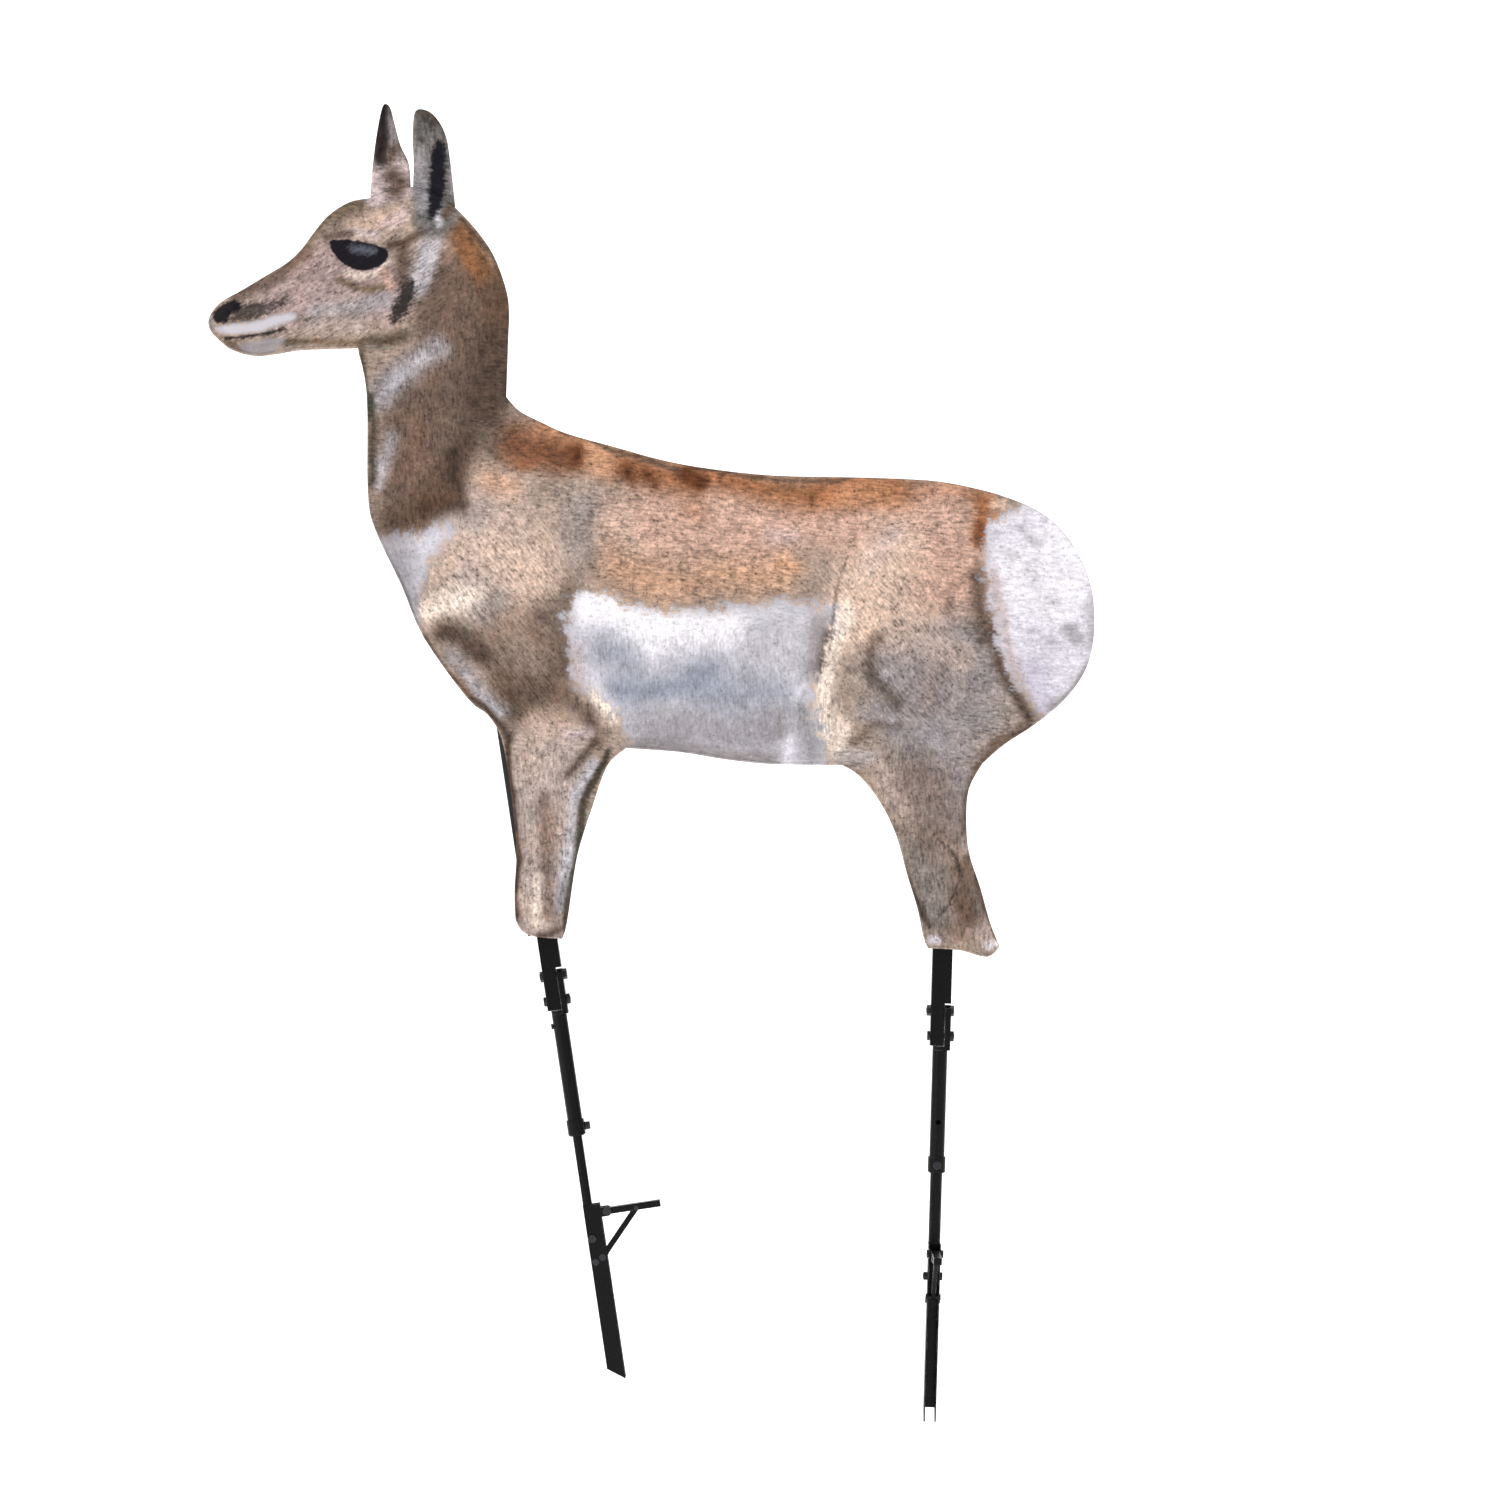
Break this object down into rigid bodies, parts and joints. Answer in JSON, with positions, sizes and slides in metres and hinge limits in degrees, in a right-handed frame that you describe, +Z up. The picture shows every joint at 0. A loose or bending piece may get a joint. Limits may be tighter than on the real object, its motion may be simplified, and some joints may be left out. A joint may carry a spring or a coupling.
{
  "type": "folding pronghorn decoy",
  "caption": "Life-size folding pronghorn decoy: a printed cloth panel on a sprung steel band, held up by two folding, telescoping steel legs with ground stakes and foot steps.",
  "frame": {"origin": "where the front stake enters the ground, on the axis of the front leg", "axes": "+Z up, +X towards the tail, +Y from the seen side of the panel to its back; the animal faces -X"},
  "size_m": [0.93, 0.0915, 1.3835],
  "materials": {
    "printed_cloth": "matte woven polyester, printed in full colour",
    "spring_steel": "bright spring steel",
    "sleeve_cloth": "coated black pack cloth",
    "webbing": "black woven tape",
    "plastic_cap": "moulded black plastic",
    "black_steel": "satin black powder coat",
    "dark_fasteners": "black oxide, bright on worn edges"
  },
  "bodies": {
    "decoy": {"near_skin": "printed_cloth", "far_skin": "printed_cloth", "edge_binding": "printed_cloth", "spring_band": "spring_steel", "band_joiner": "spring_steel", "near_ear": "printed_cloth", "far_ear": "printed_cloth", "near_ear_stay": "spring_steel", "far_ear_stay": "spring_steel", "front_pocket": "sleeve_cloth", "front_pocket_tape": "webbing", "rear_pocket": "sleeve_cloth", "rear_pocket_tape": "webbing"},
    "front_upper_leg": {"front_rail": "black_steel", "front_rail_cap": "plastic_cap", "front_pivot_bolt": "dark_fasteners", "front_pivot_nut": "dark_fasteners"},
    "front_knee": {"front_knuckle": "black_steel", "front_lock_stud": "dark_fasteners"},
    "front_knee_nut": {"front_lock_nut": "dark_fasteners"},
    "front_lower_leg": {"front_tube": "black_steel", "front_swivel_screw": "dark_fasteners", "front_collar": "black_steel"},
    "front_clamp": {"front_thumb_screw": "dark_fasteners"},
    "front_foot": {"front_rod": "black_steel", "front_stake": "black_steel", "front_tang_bolt": "dark_fasteners", "front_step_bolt": "dark_fasteners", "front_brace_rivet": "dark_fasteners"},
    "front_step": {"front_step_bar": "black_steel", "front_brace_pin": "dark_fasteners"},
    "front_prop": {"front_step_brace": "black_steel"},
    "rear_upper_leg": {"rear_rail": "black_steel", "rear_rail_cap": "plastic_cap", "rear_pivot_bolt": "dark_fasteners", "rear_pivot_nut": "dark_fasteners"},
    "rear_knee": {"rear_knuckle": "black_steel", "rear_lock_stud": "dark_fasteners"},
    "rear_knee_nut": {"rear_lock_nut": "dark_fasteners"},
    "rear_lower_leg": {"rear_tube": "black_steel", "rear_swivel_screw": "dark_fasteners", "rear_collar": "black_steel"},
    "rear_clamp": {"rear_thumb_screw": "dark_fasteners"},
    "rear_foot": {"rear_rod": "black_steel", "rear_stake": "black_steel", "rear_tang_bolt": "dark_fasteners", "rear_step_bolt": "dark_fasteners", "rear_brace_rivet": "dark_fasteners"},
    "rear_step": {"rear_step_bar": "black_steel", "rear_brace_pin": "dark_fasteners"},
    "rear_prop": {"rear_step_brace": "black_steel"}
  },
  "joints": [
    {"name": "front_leg_draw", "type": "slide", "parent": "decoy", "child": "front_upper_leg", "axis": [0.1478, 0, -0.989], "range_m": [0, 0.38]},
    {"name": "front_knee_fold", "type": "hinge", "parent": "front_upper_leg", "child": "front_knee", "pos_m": [-0.03695, 0.009, 0.24725], "axis": [0.989, 0, 0.1478], "range_deg": [0, 175]},
    {"name": "front_knee_nut_turn", "type": "hinge", "parent": "front_knee", "child": "front_knee_nut", "pos_m": [-0.02322, 0, 0.22302], "axis": [0.989, 0, 0.1478], "range_deg": [0, 720]},
    {"name": "front_foot_swivel", "type": "hinge", "parent": "front_knee", "child": "front_lower_leg", "pos_m": [-0.02956, 0, 0.1978], "axis": [-0.1478, 0, 0.989], "range_deg": [-180, 0]},
    {"name": "front_clamp_turn", "type": "hinge", "parent": "front_lower_leg", "child": "front_clamp", "pos_m": [-0.0003, 0, 0.08994], "axis": [0.989, 0, 0.1478], "range_deg": [0, 720]},
    {"name": "front_stake_height", "type": "slide", "parent": "front_lower_leg", "child": "front_foot", "axis": [-0.1478, 0, 0.989], "range_m": [-0.015, 0.07]},
    {"name": "front_step_fold", "type": "hinge", "parent": "front_foot", "child": "front_step", "pos_m": [0.01973, 0, -0.00009], "axis": [0, -1, 0], "range_deg": [0, 88]},
    {"name": "front_brace_fold", "type": "hinge", "parent": "front_step", "child": "front_prop", "pos_m": [0.05012, 0, 0.00294], "axis": [0, -1, 0], "range_deg": [-34.4, 0]},
    {"name": "rear_leg_draw", "type": "slide", "parent": "decoy", "child": "rear_upper_leg", "axis": [-0.0297, 0, -0.9996], "range_m": [0, 0.38]},
    {"name": "rear_knee_fold", "type": "hinge", "parent": "rear_upper_leg", "child": "rear_knee", "pos_m": [0.37142, 0.009, 0.20989], "axis": [0.9996, 0, -0.0297], "range_deg": [0, 175]},
    {"name": "rear_knee_nut_turn", "type": "hinge", "parent": "rear_knee", "child": "rear_knee_nut", "pos_m": [0.38064, 0, 0.1836], "axis": [0.9996, 0, -0.0297], "range_deg": [0, 720]},
    {"name": "rear_foot_swivel", "type": "hinge", "parent": "rear_knee", "child": "rear_lower_leg", "pos_m": [0.36993, 0, 0.15991], "axis": [0.0297, 0, 0.9996], "range_deg": [-90, 90]},
    {"name": "rear_clamp_turn", "type": "hinge", "parent": "rear_lower_leg", "child": "rear_clamp", "pos_m": [0.36664, -0.013, 0.04896], "axis": [0, -1, 0], "range_deg": [0, 720]},
    {"name": "rear_stake_height", "type": "slide", "parent": "rear_lower_leg", "child": "rear_foot", "axis": [0.0297, 0, 0.9996], "range_m": [-0.015, 0.07]},
    {"name": "rear_step_fold", "type": "hinge", "parent": "rear_foot", "child": "rear_step", "pos_m": [0.36391, -0.0195, -0.043], "axis": [-0.9996, 0, 0.0297], "range_deg": [0, 88]},
    {"name": "rear_brace_fold", "type": "hinge", "parent": "rear_step", "child": "rear_prop", "pos_m": [0.36387, -0.05, -0.0445], "axis": [-0.9996, 0, 0.0297], "range_deg": [-34.4, 0]}
  ],
  "couplings": [
    {"joint": "front_brace_fold", "follows": "front_step_fold", "ratio": -0.38966},
    {"joint": "rear_brace_fold", "follows": "rear_step_fold", "ratio": -0.38966}
  ]
}
